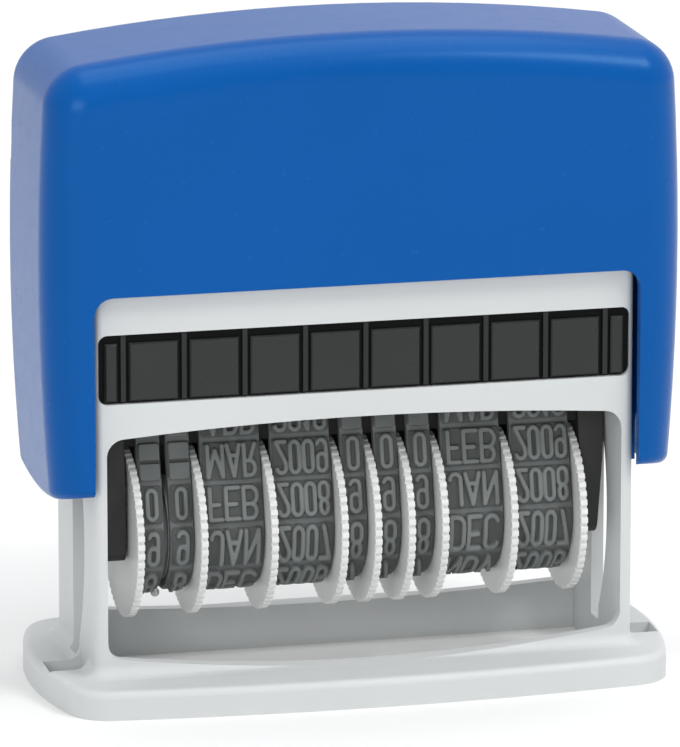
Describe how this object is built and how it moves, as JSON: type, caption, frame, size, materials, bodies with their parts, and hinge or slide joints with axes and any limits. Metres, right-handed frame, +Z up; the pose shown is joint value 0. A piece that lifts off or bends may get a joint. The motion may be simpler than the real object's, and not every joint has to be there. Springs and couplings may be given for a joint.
{
  "type": "self-inking double date stamp",
  "caption": "Self-inking date stamp: a pressed cap flips a unit of rubber date bands, set by knurled wheels, from the ink pad down to the paper.",
  "frame": {"origin": "centre of the base's underside, on the surface it stands on", "axes": "+Z up, +Y to the back, +X to the right seen from the front with the ink cassette's face"},
  "size_m": [0.0718, 0.0354, 0.0734],
  "materials": {
    "blue_plastic": "glossy moulded blue ABS",
    "grey_plastic": "satin light grey moulded plastic",
    "black_plastic": "satin black moulded plastic",
    "ink_felt": "felt soaked with black ink",
    "dark_plastic": "matte dark grey moulded plastic",
    "type_rubber": "matte grey moulded type rubber",
    "wheel_plastic": "satin off-white moulded plastic",
    "steel": "drawn steel wire and rod"
  },
  "bodies": {
    "frame": {"frame": "grey_plastic", "return_spring_left": "steel", "return_spring_right": "steel"},
    "cap": {"cap": "blue_plastic"},
    "ink_cassette": {"pad_cassette": "black_plastic", "ink_pad": "ink_felt"},
    "date_unit": {"end_arm_left": "dark_plastic", "end_arm_right": "dark_plastic", "head_bar": "dark_plastic", "wheel_axle": "steel", "day_divider": "wheel_plastic", "day_tens_band": "type_rubber", "day_units_band": "type_rubber", "month_band_left": "type_rubber", "year_band_left": "type_rubber", "number_band_1": "type_rubber", "number_band_2": "type_rubber", "number_band_3": "type_rubber", "month_band_right": "type_rubber", "year_band_right": "type_rubber"},
    "setting_wheel_1": {"setting_wheel_1": "wheel_plastic"},
    "setting_wheel_2": {"setting_wheel_2": "wheel_plastic"},
    "setting_wheel_3": {"setting_wheel_3": "wheel_plastic"},
    "setting_wheel_4": {"setting_wheel_4": "wheel_plastic"},
    "setting_wheel_5": {"setting_wheel_5": "wheel_plastic"},
    "setting_wheel_6": {"setting_wheel_6": "wheel_plastic"},
    "setting_wheel_7": {"setting_wheel_7": "wheel_plastic"},
    "setting_wheel_8": {"setting_wheel_8": "wheel_plastic"},
    "setting_wheel_9": {"setting_wheel_9": "wheel_plastic"}
  },
  "joints": [
    {"name": "press", "type": "slide", "parent": "frame", "child": "cap", "axis": [0, 0, -1], "range_m": [0, 0.0165], "stiffness_N_per_m": 900, "springref_m": -0.004, "deforming": ["return_spring_left", "return_spring_right"]},
    {"name": "flip", "type": "hinge", "parent": "cap", "child": "date_unit", "pos_m": [0, 0, 0.02513], "axis": [1, 0, 0], "range_deg": [0, 180]},
    {"name": "cassette_slide", "type": "slide", "parent": "frame", "child": "ink_cassette", "axis": [0, -1, 0], "range_m": [0, 0.024]},
    {"name": "turn_setting_wheel_1", "type": "hinge", "parent": "date_unit", "child": "setting_wheel_1", "pos_m": [0, 0, 0.0172], "axis": [1, 0, 0], "continuous": true},
    {"name": "turn_setting_wheel_2", "type": "hinge", "parent": "date_unit", "child": "setting_wheel_2", "pos_m": [0, 0, 0.0172], "axis": [1, 0, 0], "continuous": true},
    {"name": "turn_setting_wheel_3", "type": "hinge", "parent": "date_unit", "child": "setting_wheel_3", "pos_m": [0, 0, 0.0172], "axis": [1, 0, 0], "continuous": true},
    {"name": "turn_setting_wheel_4", "type": "hinge", "parent": "date_unit", "child": "setting_wheel_4", "pos_m": [0, 0, 0.0172], "axis": [1, 0, 0], "continuous": true},
    {"name": "turn_setting_wheel_5", "type": "hinge", "parent": "date_unit", "child": "setting_wheel_5", "pos_m": [0, 0, 0.0172], "axis": [1, 0, 0], "continuous": true},
    {"name": "turn_setting_wheel_6", "type": "hinge", "parent": "date_unit", "child": "setting_wheel_6", "pos_m": [0, 0, 0.0172], "axis": [1, 0, 0], "continuous": true},
    {"name": "turn_setting_wheel_7", "type": "hinge", "parent": "date_unit", "child": "setting_wheel_7", "pos_m": [0, 0, 0.0172], "axis": [1, 0, 0], "continuous": true},
    {"name": "turn_setting_wheel_8", "type": "hinge", "parent": "date_unit", "child": "setting_wheel_8", "pos_m": [0, 0, 0.0172], "axis": [1, 0, 0], "continuous": true},
    {"name": "turn_setting_wheel_9", "type": "hinge", "parent": "date_unit", "child": "setting_wheel_9", "pos_m": [0, 0, 0.0172], "axis": [1, 0, 0], "continuous": true}
  ],
  "couplings": [
    {"joint": "flip", "follows": "press", "rad_per_m": 190.39}
  ]
}
